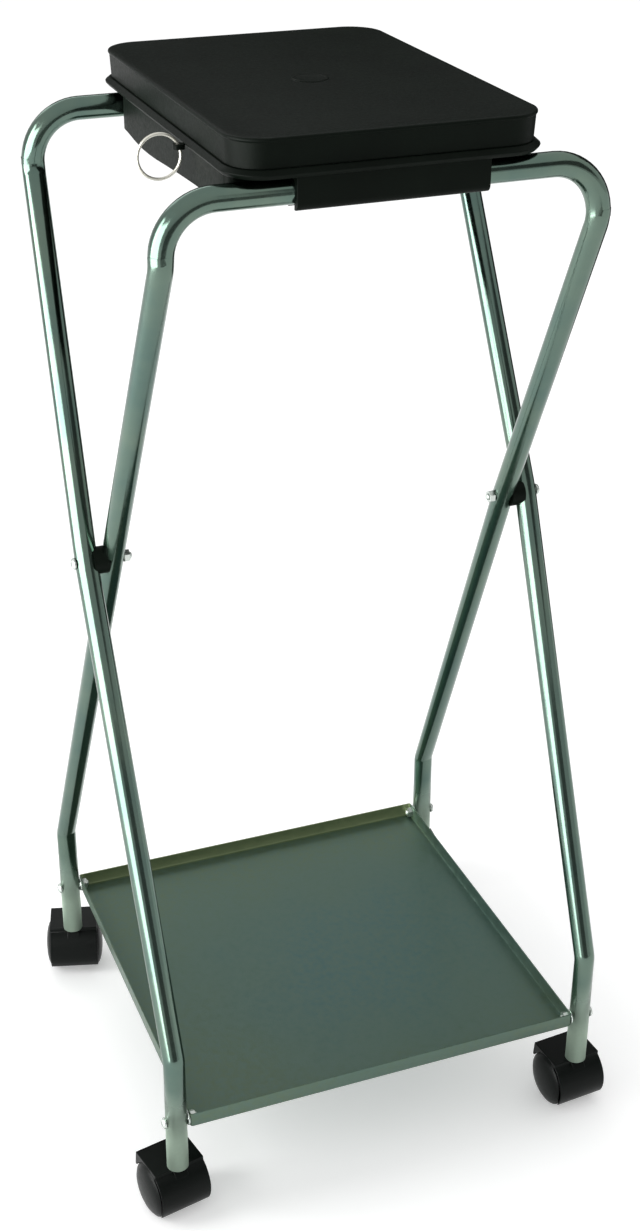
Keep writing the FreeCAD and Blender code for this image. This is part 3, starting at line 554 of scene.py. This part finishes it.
def bent_tube(bm, points, bends, steps, pressed):
    start = points[0]
    ring = bmesh.ops.create_circle(bm, segments=TUBE_SEGMENTS, radius=TUBE_RADIUS,
                                   matrix=Matrix.Translation(start))["verts"]
    ring = list({edge for vert in ring for edge in vert.link_edges})
    kinks = []
    for number, (radius, count) in enumerate(zip(bends, steps)):
        before, corner, after = points[number:number + 3]
        back = (before - corner).normalized()
        onward = (after - corner).normalized()
        half = back.angle(onward) / 2
        first = corner + back * (radius / math.tan(half))
        inward = (back + onward).normalized()
        centre = corner + inward * (radius / math.sin(half))
        axis = onward.cross(back).normalized()
        ring = run_along(bm, ring, first - start)
        ring = turn_round(bm, ring, centre, axis, math.pi - 2 * half, count)
        start = corner + onward * (radius / math.tan(half))
        kinks.append((corner, inward, (onward - back).normalized()))
    run_along(bm, ring, points[-1] - start)
    for number, share in pressed.items():
        corner, inward, along = kinks[number]
        flatten_kink(bm, corner, inward, along, share)


# %% Frame tubes
FOOT_SIDE = 203.5
FOOT_OUT = 187.4
TUBE_LOW = 54.2
LOW_KINK_HIGH = 176.5
PIVOT_HIGH = 580.5
TOP_KINK_HIGH = 883.2
BAR_OUT = 150.7
BAR_HIGH = 930.0


def frame_points(front, top_half, pivot_half):
    """Corners of the centre line from the right foot over the bar to the left foot."""
    half = [
        (FOOT_SIDE, -FOOT_OUT * front, TUBE_LOW),
        (FOOT_SIDE, -FOOT_OUT * front, LOW_KINK_HIGH),
        (pivot_half, 0, PIVOT_HIGH),
        (top_half, BAR_OUT * front, TOP_KINK_HIGH),
        (top_half, BAR_OUT * front, BAR_HIGH),
    ]
    right = [Vector(point) for point in half]
    left = [Vector((-point.x, point.y, point.z)) for point in reversed(right)]
    return right + left


def frame_tube(name, node, front, top_half, pivot_half):
    """`pressed` says for each kink's number how far its inside is pushed in."""
    bends = [KINK_RADIUS, PIVOT_RADIUS, TOP_KINK_RADIUS, CORNER_RADIUS]
    steps = [8, 6, 10, 14]
    pressed = {0: 0.42, 2: 0.3, 5: 0.3, 7: 0.42}
    bm = bmesh.new()
    bent_tube(bm, frame_points(front, top_half, pivot_half), bends + bends[::-1],
              steps + steps[::-1], pressed)
    piece = hand_over(bm, name, zinc_tube, "tube_zinc", "stand", node, sharp=60)
    wall = piece.modifiers.new("wall", "SOLIDIFY")
    wall.thickness = TUBE_WALL * MM
    wall.offset = -1


frame_tube("front_tube", "frame_front_tube", -1, top_half=178.3, pivot_half=187.0)
frame_tube("back_tube", "frame_back_tube", 1, top_half=199.2, pivot_half=210.0)

# %% [markdown]
# Bolts and washers are turned parts, so each starts as a half outline of a few vertices
# that is spun once round its own axis. The nuts are hexagons, extruded, with a small bevel
# where the corners were faced off.

# %% Turned pieces
def lathe(bm, outline, segments=24):
    """Spins an outline of (distance along +X, radius) once round X. Returns its vertices."""
    verts = [bm.verts.new((along, 0, radius)) for along, radius in outline]
    edges = [bm.edges.new(pair) for pair in zip(verts, verts[1:])]
    before = set(bm.verts) - set(verts)
    bmesh.ops.spin(bm, geom=verts + edges, cent=(0, 0, 0), axis=(1, 0, 0), dvec=(0, 0, 0),
                   angle=2 * math.pi, steps=segments, use_merge=True, use_duplicate=False)
    made = [vert for vert in bm.verts if vert not in before]
    return bmesh_merged(bm, made)


def bmesh_merged(bm, verts):
    """Merges a part's own doubles and gives back what is left of it."""
    others = set(bm.verts) - set(verts)
    bmesh.ops.remove_doubles(bm, verts=verts, dist=MERGE)
    return [vert for vert in bm.verts if vert not in others]


def inwards(side):
    """Turns +X to point at the middle of the holder from the side -1 (left) or 1 (right)."""
    return Matrix.Rotation(math.pi if side > 0 else 0.0, 4, "Z")


def put(bm, verts, x, y, z, turn=Matrix.Identity(4)):
    bmesh.ops.transform(bm, matrix=Matrix.Translation((x, y, z)) @ turn, verts=verts)


SHANK = 2.95
HEAD_OUTLINE = [(-1.6, 0), (-1.6, 1.7), (-3.3, 2.0), (-3.2, 3.2), (-2.6, 4.3), (-1.7, 5.0),
                (-0.8, 5.25), (0, 5.1), (0, SHANK)]


def bolt(bm, length):
    tip = [(length - 0.8, SHANK), (length, SHANK - 0.7), (length, 0)]
    return lathe(bm, HEAD_OUTLINE + tip)


def nut(bm):
    flats, tall, bore = 10.0, 5.0, 3.45
    tip = flats / math.sqrt(3)
    before = set(bm.verts)
    turn = Matrix.Rotation(math.pi / 6, 4, "X") @ Matrix.Rotation(math.pi / 2, 4, "Y")
    rings = []
    for radius in (tip, bore):
        verts = bmesh.ops.create_circle(bm, segments=6, radius=radius, matrix=turn)["verts"]
        rings += list({edge for vert in verts for edge in vert.link_edges})
    made = bmesh.ops.bridge_loops(bm, edges=rings)["faces"]
    grown = bmesh.ops.extrude_face_region(bm, geom=made)["geom"]
    bmesh.ops.translate(bm, verts=only_verts(grown), vec=(tall, 0, 0))
    verts = [vert for vert in bm.verts if vert not in before]
    rim = [edge for edge in {e for v in verts for e in v.link_edges}
           if all(vert.co.x > tall - 0.01 and vert.co.yz.length > (tip + bore) / 2
                  for vert in edge.verts)]
    bmesh.ops.bevel(bm, geom=rim, offset=0.5, segments=2, profile=0.5, affect="EDGES", material=-1)
    return [vert for vert in bm.verts if vert not in before]


def washer(bm):
    return lathe(bm, [(0, 3.2), (0, 7.0), (0.3, 7.2), (1.2, 7.2), (1.5, 7.0), (1.5, 3.2), (0, 3.2)])


# %% Bolts, nuts and washers
TRAY_BOLT_HIGH = 107.5
FEET = {"fl": (-1, -1), "fr": (1, -1), "bl": (-1, 1), "br": (1, 1)}


def fasteners(name, node, make, places):
    bm = bmesh.new()
    for side, x, y, z in places:
        put(bm, make(bm), x * side, y, z, inwards(side))
    hand_over(bm, name, zinc_fastener, "fastener_zinc", "stand", node)


def at_pivots(out):
    """Both pivots, for pieces that start at the distance `out` from the middle."""
    return [(side, out, 0, PIVOT_HIGH) for side in (-1, 1)]


def at_feet(out):
    return [(side, out, FOOT_OUT * front, TRAY_BOLT_HIGH) for side, front in FEET.values()]


fasteners("pivot_bolt_pair", "pivot_bolts", lambda bm: bolt(bm, 50.0), at_pivots(220.0))
fasteners("pivot_nut_pair", "pivot_nuts", nut, at_pivots(177.0))
fasteners("tray_bolt_set", "tray_bolts", lambda bm: bolt(bm, 29.7), at_feet(213.5))
fasteners("tray_nut_set", "tray_nuts", nut, at_feet(190.8))
fasteners("tray_washer_set", "tray_washers", washer, at_feet(193.5))
keep_node("pivot_saddles", black_plastic)

# %% [markdown]
# The tray, the collar and the lid are all rounded rectangles that change size as they go
# up or down. `skin` starts with a circle whose four quarters are moved apart, and then
# extrudes that ring again and again and moves it to the next size. So every ring has the
# same number of vertices, and the wall shades evenly round the corners.

# %% Rings and skins
def ring_spot(way, half_x, half_y, corner, z, shift=0.0):
    """Where the vertex that lies in the direction `way` goes on a rounded rectangle."""
    x = math.copysign(half_x - corner, way.x) + way.x * corner
    y = math.copysign(half_y - corner, way.y) + way.y * corner + shift
    return Vector((x, y, z))


def skin(bm, rings, closed=False, segments=32):
    """Each ring is half_x, half_y, corner, z and shift. Returns the first and last rings."""
    half_step = Matrix.Rotation(math.pi / segments, 4, "Z")
    verts = bmesh.ops.create_circle(bm, segments=segments, radius=1, matrix=half_step)["verts"]
    ways = {vert: vert.co.copy() for vert in verts}
    ring = list({edge for vert in verts for edge in vert.link_edges})
    first = ring
    for vert in verts:
        vert.co = ring_spot(ways[vert], *rings[0])
    for sizes in rings[1:] + (rings[:1] if closed else []):
        made = bmesh.ops.extrude_edge_only(bm, edges=ring)["geom"]
        new = set(only_verts(made))
        grown = {}
        for vert in new:
            behind = [edge.other_vert(vert) for edge in vert.link_edges]
            grown[vert] = next(ways[old] for old in behind if old in ways)
        ways = grown
        for vert in new:
            vert.co = ring_spot(ways[vert], *sizes)
        ring = [edge for edge in only_edges(made) if new.issuperset(edge.verts)]
    return first, ring


def fill(bm, ring):
    bmesh.ops.edgeloop_fill(bm, edges=ring)


def add_bevel(piece, width, segments=2):
    bevel = piece.modifiers.new("round edges", "BEVEL")
    bevel.width = width * MM
    bevel.segments = segments
    bevel.limit_method = "ANGLE"
    bevel.angle_limit = math.radians(35)


# %% [markdown]
# The tray is one sheet, 1.2 mm thick, with a flange folded up along each side. The rings
# go from the middle of the floor outwards, round the fold and up the flange, over its top
# edge and back down the outside, so the sheet has its real thickness everywhere.

# %% Tray
def make_tray():
    x, y, low, thick, tall = 192.0, 193.9, 100.0, 1.2, 15.0
    bm = bmesh.new()
    rings = [
        (x - 3.2, y - 3.2, 1.0, low + thick),
        (x - 1.9, y - 1.9, 1.2, low + thick + 0.3),
        (x - thick - 0.1, y - thick - 0.1, 1.4, low + thick + 1.6),
        (x - thick, y - thick, 1.4, low + tall - 0.25),
        (x - thick + 0.3, y - thick + 0.3, 1.6, low + tall),
        (x - 0.3, y - 0.3, 2.2, low + tall),
        (x, y, 2.4, low + tall - 0.3),
        (x, y, 2.4, low + 2.0),
        (x - 0.6, y - 0.6, 2.2, low + 0.6),
        (x - 2.0, y - 2.0, 1.4, low),
    ]
    floor, under = skin(bm, rings, segments=16)
    fill(bm, floor)
    fill(bm, under)
    hand_over(bm, "tray_sheet", zinc_sheet, "tray_zinc", "stand", "tray")


make_tray()

# %% [markdown]
# The collar is a moulding: a rim that the lid shuts on, a lip that flares out over which
# the bag's mouth is folded, and walls that hang down inside the bars with a bowed lower
# edge. Two C-shaped clips snap it on the bars. The rim and walls are one closed skin.

# %% Collar
RIM_SHIFT = 14.0
DECK_LOW = 943.0
RIM_HIGH = 950.0
WALL_LOW = DECK_LOW - 33.5
WALL_END = 144.7
FRONT_END_HIGH = DECK_LOW - 24.5
BACK_END_HIGH = DECK_LOW - 28.3
FRONT_BOW = 3600.0
BACK_BOW = 450.0
LEVEL_FROM = 50
LEVEL_TO = 90
CUT_EVERY = 20.0
CLIP_HALF = 77.5
HOLE = Vector((-132.0, -53.0, 943.8))
HOLE_SHIFT = 0.2
RING_LEAN = math.radians(22.0)


def arc_height(y, start, end, radius):
    """Height at y of a shallow arch between two points, each given as y and height."""
    (y0, z0), (y1, z1) = start, end
    length = math.hypot(y1 - y0, z1 - z0)
    rise = math.sqrt(radius ** 2 - length ** 2 / 4)
    middle_y = (y0 + y1) / 2 + (z1 - z0) / length * rise
    middle_z = (z0 + z1) / 2 - (y1 - y0) / length * rise
    return middle_z + math.sqrt(radius ** 2 - (y - middle_y) ** 2)


def wall_bottom(y):
    """The walls' lower edge: a long bow from the front end, a level part and a short bow."""
    if y <= LEVEL_FROM:
        return arc_height(y, (-WALL_END, FRONT_END_HIGH), (LEVEL_FROM, WALL_LOW), FRONT_BOW)
    if y < LEVEL_TO:
        return WALL_LOW
    return arc_height(y, (LEVEL_TO, WALL_LOW), (WALL_END, BACK_END_HIGH), BACK_BOW)


def rim_and_walls(bm):
    """The walls are cut across every so often, so that their lower edge can follow the bow."""
    rings = [
        (126.0, 179.0, 31.0, DECK_LOW, RIM_SHIFT),
        (128.6, 181.6, 33.6, DECK_LOW + 3.0, RIM_SHIFT),
        (128.8, 181.8, 33.8, DECK_LOW + 3.9, RIM_SHIFT),
        (125.0, 178.0, 30.0, RIM_HIGH, RIM_SHIFT),
        (121.5, 174.5, 26.5, RIM_HIGH, RIM_SHIFT),
        (121.5, 174.5, 26.5, DECK_LOW + 3.0, RIM_SHIFT),
        (108.0, 132.0, 12.0, DECK_LOW + 3.0),
        (108.0, 132.0, 12.0, DECK_LOW),
        (121.0, 137.2, 7.5, DECK_LOW),
        (121.0, 137.2, 7.5, WALL_LOW),
        (123.5, 139.7, 10.0, WALL_LOW),
        (123.5, 139.7, 10.0, DECK_LOW),
    ]
    skin(bm, rings, closed=True)
    for number in range(-6, 7):
        geom = bm.verts[:] + bm.edges[:] + bm.faces[:]
        bmesh.ops.bisect_plane(bm, geom=geom, plane_co=(0, number * CUT_EVERY, 0),
                               plane_no=(0, 1, 0))
    for vert in bm.verts:
        if vert.co.z < WALL_LOW + 0.01:
            vert.co.z = wall_bottom(vert.co.y)


def bar_clip(bm, front):
    """A C is drawn across the bar, the bore as a spun vertex, and extruded along the bar."""
    mouth = 6.0
    bore = 10.1
    drop = math.sqrt(bore ** 2 - mouth ** 2)
    bar_y = BAR_OUT * front
    outer = 163.7 * front
    inner = 138.45 * front
    low = 917.0
    high = DECK_LOW + 1.0
    open_angle = 2 * math.asin(mouth / bore)
    before = set(bm.verts)
    first = bm.verts.new((-CLIP_HALF, bar_y - mouth * front, BAR_HIGH - drop))
    spun = bmesh.ops.spin(bm, geom=[first], cent=(0, bar_y, BAR_HIGH), axis=(-front, 0, 0),
                          dvec=(0, 0, 0), angle=2 * math.pi - open_angle, steps=24,
                          use_merge=False, use_duplicate=False)
    last = only_verts(spun["geom_last"])[0]
    corners = [(bar_y + mouth * front, low), (outer, low), (outer, high), (inner, high),
               (inner, low), (bar_y - mouth * front, low)]
    chain = [bm.verts.new((-CLIP_HALF, y, z)) for y, z in corners]
    for pair in zip([last] + chain, chain + [first]):
        bm.edges.new(pair)
    verts = [vert for vert in bm.verts if vert not in before]
    edges = list({edge for vert in verts for edge in vert.link_edges})
    faces = bmesh.ops.contextual_create(bm, geom=edges)["faces"]
    grown = bmesh.ops.extrude_face_region(bm, geom=faces)["geom"]
    bmesh.ops.translate(bm, verts=only_verts(grown), vec=(2 * CLIP_HALF, 0, 0))
    made = [vert for vert in bm.verts if vert not in before]
    shoulder = [edge for edge in {e for v in made for e in v.link_edges}
                if all(abs(vert.co.y - outer) < 0.01 and vert.co.z < low + 0.01
                       for vert in edge.verts)]
    bmesh.ops.bevel(bm, geom=shoulder, offset=6.0, segments=5, profile=0.5, affect="EDGES",
                    material=-1)


def ring_lug(bm):
    """A tab with a leaning hole, as four rings that close on themselves."""
    half = 2.0
    lean = math.tan(RING_LEAN) * half
    before = set(bm.verts)
    tab = (4.6, 4.0, 3.0)
    hole = (1.7, 1.7, 1.7)
    rings = [(*tab, half), (*hole, half), (*hole, -half), (*tab, -half)]
    skin(bm, rings, closed=True, segments=16)
    made = [vert for vert in bm.verts if vert not in before]
    for vert in made:
        if vert.co.xy.length < 2:
            vert.co.x += HOLE_SHIFT - lean * vert.co.z / half
    bmesh.ops.translate(bm, verts=made, vec=HOLE - Vector((HOLE_SHIFT, 0, 0)))


HINGE_Y = 201.5
HINGE_Z = 948.5


def hinge_arm(bm, x_low, x_high, points):
    """A web drawn across the hinge and extruded along it."""
    face = bm.faces.new([bm.verts.new((x_low, y, z)) for y, z in points])
    grown = bmesh.ops.extrude_face_region(bm, geom=[face])["geom"]
    bmesh.ops.translate(bm, verts=only_verts(grown), vec=(x_high - x_low, 0, 0))


def hinge_barrel(bm, x_low, x_high):
    radius, bore = 4.3, 1.55
    outline = [(x_low, bore), (x_low, radius - 0.4), (x_low + 0.4, radius),
               (x_high - 0.4, radius), (x_high, radius - 0.4), (x_high, bore), (x_low, bore)]
    verts = lathe(bm, outline, 28)
    put(bm, verts, 0, HINGE_Y, HINGE_Z)


def make_collar():
    bm = bmesh.new()
    rim_and_walls(bm)
    for front in (-1, 1):
        bar_clip(bm, front)
    ring_lug(bm)
    for low, high in ((-60.0, -40.0), (40.0, 60.0)):
        hinge_barrel(bm, low, high)
        hinge_arm(bm, low, high, [(190.2, 943.0), (199.0, 945.2), (199.0, 947.5), (190.2, 947.5)])
    piece = hand_over(bm, "collar_moulding", black_plastic, "black_plastic", "stand", "bag_collar")
    add_bevel(piece, 0.5)


make_collar()
keep_node("lid_hinge_pin", zinc_fastener)

# %% [markdown]
# The lid is a shallow cap: a skirt with a little draft, a bead round the top edge, and a
# top that sinks gently towards the middle, where a plain low disc lies.
# It is skinned in one go from under the skirt, over the top and down the inside again.

# %% Lid
LID_LOW = 950.3
LID_TOP = 973.0
LID_KNUCKLE = 39.7


def make_lid():
    bm = bmesh.new()
    outside = [
        (121.3, 174.3, 26.3, LID_LOW, RIM_SHIFT),
        (123.3, 176.3, 28.3, LID_LOW, RIM_SHIFT),
        (124.4, 177.4, 29.4, LID_TOP - 3.4, RIM_SHIFT),
        (125.1, 178.1, 30.1, LID_TOP - 2.9, RIM_SHIFT),
        (125.5, 178.5, 30.5, LID_TOP - 2.2, RIM_SHIFT),
        (125.4, 178.4, 30.4, LID_TOP - 1.2, RIM_SHIFT),
        (124.9, 177.9, 29.9, LID_TOP - 0.4, RIM_SHIFT),
        (123.9, 176.9, 28.9, LID_TOP, RIM_SHIFT),
        (121.5, 174.5, 26.5, LID_TOP - 0.05, RIM_SHIFT),
        (115.0, 168.0, 22.0, LID_TOP - 0.7, RIM_SHIFT),
        (105.0, 158.0, 20.0, LID_TOP - 1.5, RIM_SHIFT),
        (90.0, 143.0, 20.0, LID_TOP - 1.9, RIM_SHIFT),
        (15.4, 15.4, 15.4, LID_TOP - 2.0, RIM_SHIFT),
        (15.0, 15.0, 15.0, LID_TOP - 1.6, RIM_SHIFT),
        (14.6, 14.6, 14.6, LID_TOP - 1.2, RIM_SHIFT),
        (13.0, 13.0, 13.0, LID_TOP - 1.2, RIM_SHIFT),
        (12.6, 12.6, 12.6, LID_TOP - 1.5, RIM_SHIFT),
    ]
    inside = (121.3, 174.3, 26.3, LID_TOP - 4.5, RIM_SHIFT)
    ceiling, middle = skin(bm, [inside] + outside, segments=48)
    fill(bm, middle)
    fill(bm, ceiling)
    hinge_barrel(bm, -LID_KNUCKLE, LID_KNUCKLE)
    hinge_arm(bm, -LID_KNUCKLE, LID_KNUCKLE,
              [(188.8, 950.9), (200.0, 949.5), (201.5, 952.5), (189.6, 957.0)])
    piece = hand_over(bm, "lid_cap", black_plastic, "black_plastic", "lid", "lid", sharp=40)
    add_bevel(piece, 0.4)


make_lid()

# %% [markdown]
# The pull ring is a loop of round wire through the lug. A small circle is spun once round
# the ring's centre, which lies a little lower than the lug because the ring leans out.

# %% Pull ring
def make_ring():
    radius, wire = 17.2, 1.25
    centre = HOLE - radius * Vector((math.cos(RING_LEAN), 0, math.sin(RING_LEAN)))
    bm = bmesh.new()
    place = Matrix.Translation(centre + Vector((radius, 0, 0)))
    verts = bmesh.ops.create_circle(bm, segments=14, radius=wire, matrix=place)["verts"]
    edges = list({edge for vert in verts for edge in vert.link_edges})
    bmesh.ops.spin(bm, geom=verts + edges, cent=centre, axis=(0, 1, 0), dvec=(0, 0, 0),
                   angle=2 * math.pi, steps=72, use_merge=True, use_duplicate=False)
    hand_over(bm, "ring_of_wire", ring_wire, "ring_wire", "ring", "pull_ring", sharp=80)


make_ring()

# %% [markdown]
# Each castor has two wheels under one hood. The hood is drawn from the side, as a band
# between two arcs with a flat seat for the foot, and extruded across both treads. A wheel
# is turned: a flat tread with soft shoulders and a domed outer face that stands out of the
# hood. Hood and domes are wider here than in the solids, as the photograph shows them.

# %% Castors
TRAIL = 11.0
WHEEL = 26.0
HOOD_TIP = math.radians(27.0)
TURNS = {"fl": 11.3, "fr": 4.9, "bl": -16.3, "br": -5.0}
WHEEL_OUTLINE = [
    (22.3, 0.0), (22.3, 3.05), (7.2, 3.05), (7.2, 22.5), (7.5, 24.6), (8.6, 25.8), (10.0, 26.0),
    (22.6, 26.0), (23.7, 25.7), (24.4, 25.1), (24.6, 24.4), (25.2, 23.9), (26.7, 21.4),
    (28.0, 17.6), (29.0, 13.0), (29.5, 8.0), (29.8, 3.5), (29.85, 0.0),
]


def arc_points(bm, angle, radius, sweep, steps):
    """A chain of vertices on an arc round the wheel's axis, by spinning one vertex."""
    y = TRAIL + radius * math.cos(angle)
    z = WHEEL + radius * math.sin(angle)
    first = bm.verts.new((0, y, z))
    before = set(bm.verts)
    bmesh.ops.spin(bm, geom=[first], cent=(0, TRAIL, WHEEL), axis=(1, 0, 0), dvec=(0, 0, 0),
                   angle=sweep, steps=steps, use_merge=False, use_duplicate=False)
    made = [vert for vert in bm.verts if vert not in before]
    return [first] + made


def make_hood(bm):
    outer, inner, skirt = 27.8, 26.6, 15.0
    half, top, seat = 25.0, 53.9, 14.0
    low_out = math.pi - math.asin(-skirt / outer)
    low_in = math.pi - math.asin(-skirt / inner)
    shoulder = math.pi - math.acos(seat / outer)
    inside = arc_points(bm, low_in, inner, HOOD_TIP - low_in, 24)
    tail = [bm.verts.new((0, TRAIL + y, z))
            for y, z in ((25.6, WHEEL + 13.0), (24.0, top), (-seat, top))]
    outside = arc_points(bm, shoulder, outer, low_out - shoulder, 16)
    chain = inside + tail + outside
    for pair in zip(chain, chain[1:] + chain[:1]):
        if not bm.edges.get(pair):
            bm.edges.new(pair)
    face = bm.faces.new(chain)
    grown = bmesh.ops.extrude_face_region(bm, geom=[face])["geom"]
    bmesh.ops.translate(bm, verts=only_verts(grown), vec=(2 * half, 0, 0))
    bmesh.ops.translate(bm, verts=bm.verts, vec=(-half, 0, 0))


def make_web(bm):
    """The plate between the wheels, seen only from behind and below."""
    rim, low, half = 28.0, 12.0, 6.5
    reach = math.sqrt(rim ** 2 - low ** 2)
    points = [(-reach, -low), (low, -low),
              (rim * math.cos(HOOD_TIP), rim * math.sin(HOOD_TIP)),
              (23.0, 27.2), (-13.0, 27.2), (-20.0, 19.5)]
    verts = [bm.verts.new((-half, TRAIL + y, WHEEL + z)) for y, z in points]
    grown = bmesh.ops.extrude_face_region(bm, geom=[bm.faces.new(verts)])["geom"]
    bmesh.ops.translate(bm, verts=only_verts(grown), vec=(2 * half, 0, 0))


def make_castor(name):
    side, front = FEET[name]
    label = "castor_" + name + "_"
    turn = Matrix.Rotation(math.radians(TURNS[name]), 4, "Z")
    place = Matrix.Translation((FOOT_SIDE * side, FOOT_OUT * front, 0)) @ turn
    bm = bmesh.new()
    make_hood(bm)
    make_web(bm)
    bmesh.ops.transform(bm, matrix=place, verts=bm.verts)
    hood = hand_over(bm, label + "hood_moulding", castor_plastic, "castor_plastic",
                     "castor_" + name, label + "hood")
    add_bevel(hood, 0.7, 3)
    for which, half_turn in (("right", 0.0), ("left", math.pi)):
        bm = bmesh.new()
        lathe(bm, WHEEL_OUTLINE, 64)
        flip = Matrix.Translation((0, TRAIL, WHEEL)) @ Matrix.Rotation(half_turn, 4, "Z")
        bmesh.ops.transform(bm, matrix=place @ flip, verts=bm.verts)
        hand_over(bm, label + "wheel_" + which + "_disc", castor_plastic, "castor_plastic",
                  "wheel_" + name + "_" + which, label + "wheel_" + which, sharp=50)
    keep_node(label + "stem", zinc_fastener)
    keep_node(label + "axle", zinc_fastener)


for foot in FEET:
    make_castor(foot)
keep_node("castor_sleeves", castor_plastic)

# %% [markdown]
# Last come the picture settings.

# %% Finish
bpy.context.scene.view_settings.view_transform = "Standard"
